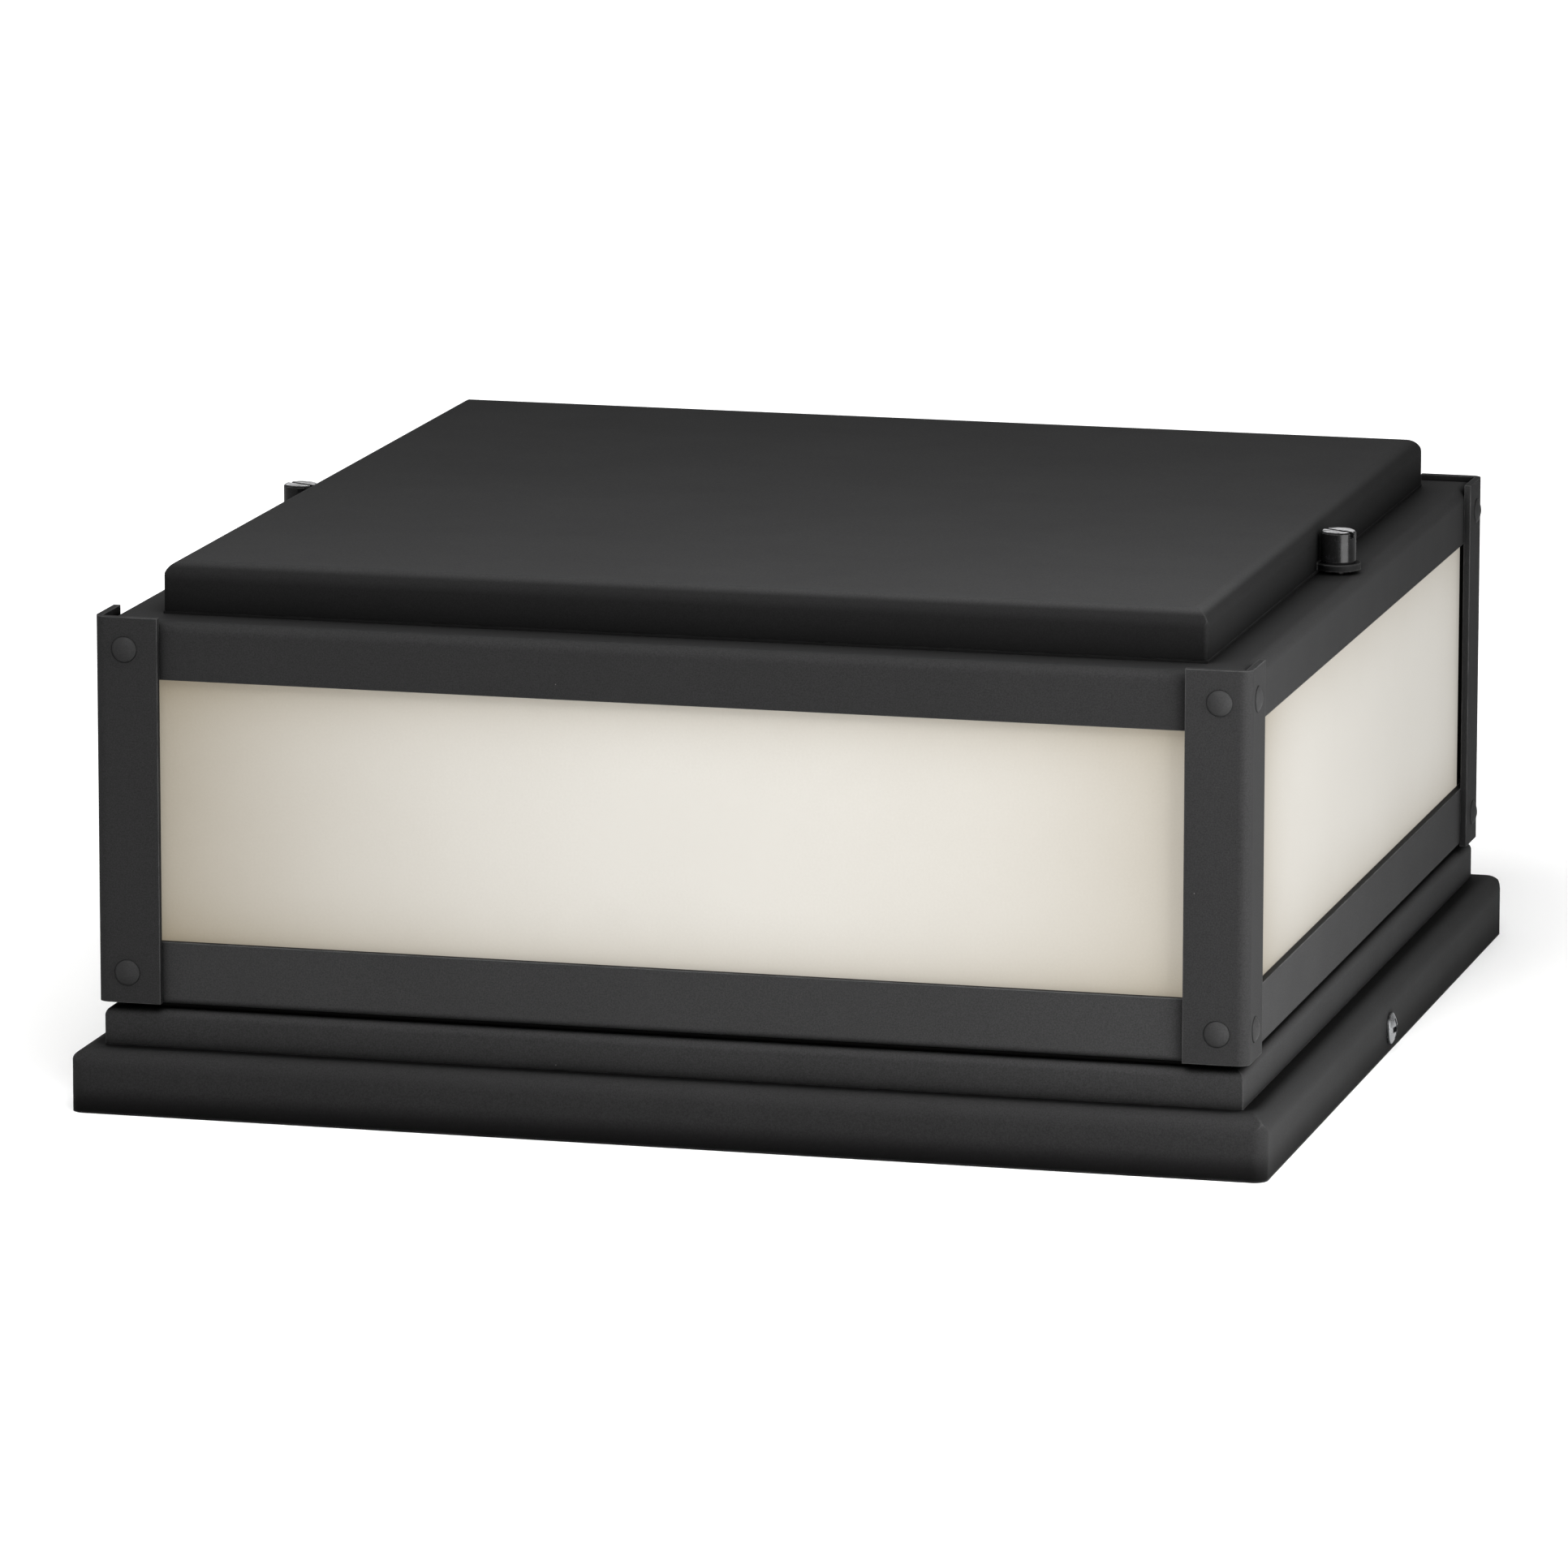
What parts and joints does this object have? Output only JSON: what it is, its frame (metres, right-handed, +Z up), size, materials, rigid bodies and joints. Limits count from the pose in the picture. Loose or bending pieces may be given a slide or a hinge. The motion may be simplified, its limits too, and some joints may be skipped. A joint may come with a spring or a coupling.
{
  "type": "post cap light",
  "caption": "Square black post cap light with four etched glass panes, riveted corner angles, a lift-off lid held by thumb screws and a plug-in lamp.",
  "frame": {"origin": "middle of the base rim's lower edge, on the plane that the rim rests on", "axes": "+Z up, +X along the front face towards its right end, -Y towards the front of the picture"},
  "size_m": [0.2124, 0.21, 0.0944],
  "materials": {
    "black_powder_coat": "satin, fine grain",
    "gloss_black": "gloss",
    "etched_glass": "etched, warm white",
    "seal_rubber": "matte",
    "bare_aluminium": "brushed",
    "zinc_plated_steel": "zinc plated",
    "bright_zinc": "bright zinc",
    "brass": "plain",
    "white_plastic": "matte",
    "lamp_plastic": "gloss",
    "lamp_globe": "frosted, warm",
    "lead_cover": "matte"
  },
  "bodies": {
    "housing": {"base_plate": "black_powder_coat", "step_tray": "black_powder_coat", "frame_seat": "seal_rubber", "lower_frame": "black_powder_coat", "upper_frame": "black_powder_coat", "angle_front_left": "black_powder_coat", "angle_front_right": "black_powder_coat", "angle_back_left": "black_powder_coat", "angle_back_right": "black_powder_coat", "corner_rivets": "black_powder_coat", "pane_front": "etched_glass", "pane_back": "etched_glass", "pane_left": "etched_glass", "pane_right": "etched_glass", "pane_pads": "seal_rubber", "retainer_front_left": "bare_aluminium", "retainer_front_right": "bare_aluminium", "retainer_back_left": "bare_aluminium", "retainer_back_right": "bare_aluminium", "frame_screws": "zinc_plated_steel", "frame_nuts": "zinc_plated_steel", "frame_spacers": "bare_aluminium", "lid_gasket": "seal_rubber", "thread_inserts": "brass", "mounting_strap": "zinc_plated_steel", "side_screws": "bright_zinc", "nipple": "brass", "nipple_nuts": "zinc_plated_steel", "wire_bushing": "white_plastic", "lamp_bracket": "zinc_plated_steel", "lamp_socket": "white_plastic", "socket_contacts": "brass", "terminal_block": "white_plastic", "terminal_screws": "brass", "block_screw": "zinc_plated_steel", "lamp_leads": "lead_cover"},
    "lid": {"lid": "black_powder_coat"},
    "left_washer": {"thumb_washer_left": "seal_rubber"},
    "left_thumb_screw": {"thumb_screw_left": "gloss_black"},
    "right_washer": {"thumb_washer_right": "seal_rubber"},
    "right_thumb_screw": {"thumb_screw_right": "gloss_black"},
    "lamp": {"lamp_body": "lamp_plastic", "lamp_globe": "lamp_globe"}
  },
  "joints": [
    {"name": "lid_lift", "type": "slide", "parent": "housing", "child": "lid", "axis": [0, 0, 1], "range_m": [0, 0.06]},
    {"name": "left_screw_rise", "type": "slide", "parent": "lid", "child": "left_washer", "axis": [0, 0, 1], "range_m": [0, 0.0048]},
    {"name": "left_screw_turn", "type": "hinge", "parent": "left_washer", "child": "left_thumb_screw", "pos_m": [-0.0948, 0, 0.09], "axis": [0, 0, 1], "range_deg": [0, 3456.5]},
    {"name": "right_screw_rise", "type": "slide", "parent": "lid", "child": "right_washer", "axis": [0, 0, 1], "range_m": [0, 0.0048]},
    {"name": "right_screw_turn", "type": "hinge", "parent": "right_washer", "child": "right_thumb_screw", "pos_m": [0.0948, 0, 0.09], "axis": [0, 0, 1], "range_deg": [0, 3456.5]},
    {"name": "lamp_pull", "type": "slide", "parent": "housing", "child": "lamp", "axis": [0, 0, 1], "range_m": [0, 0.009]}
  ],
  "couplings": [
    {"joint": "left_screw_turn", "follows": "left_screw_rise", "rad_per_m": 12566},
    {"joint": "right_screw_turn", "follows": "right_screw_rise", "rad_per_m": 12566}
  ]
}
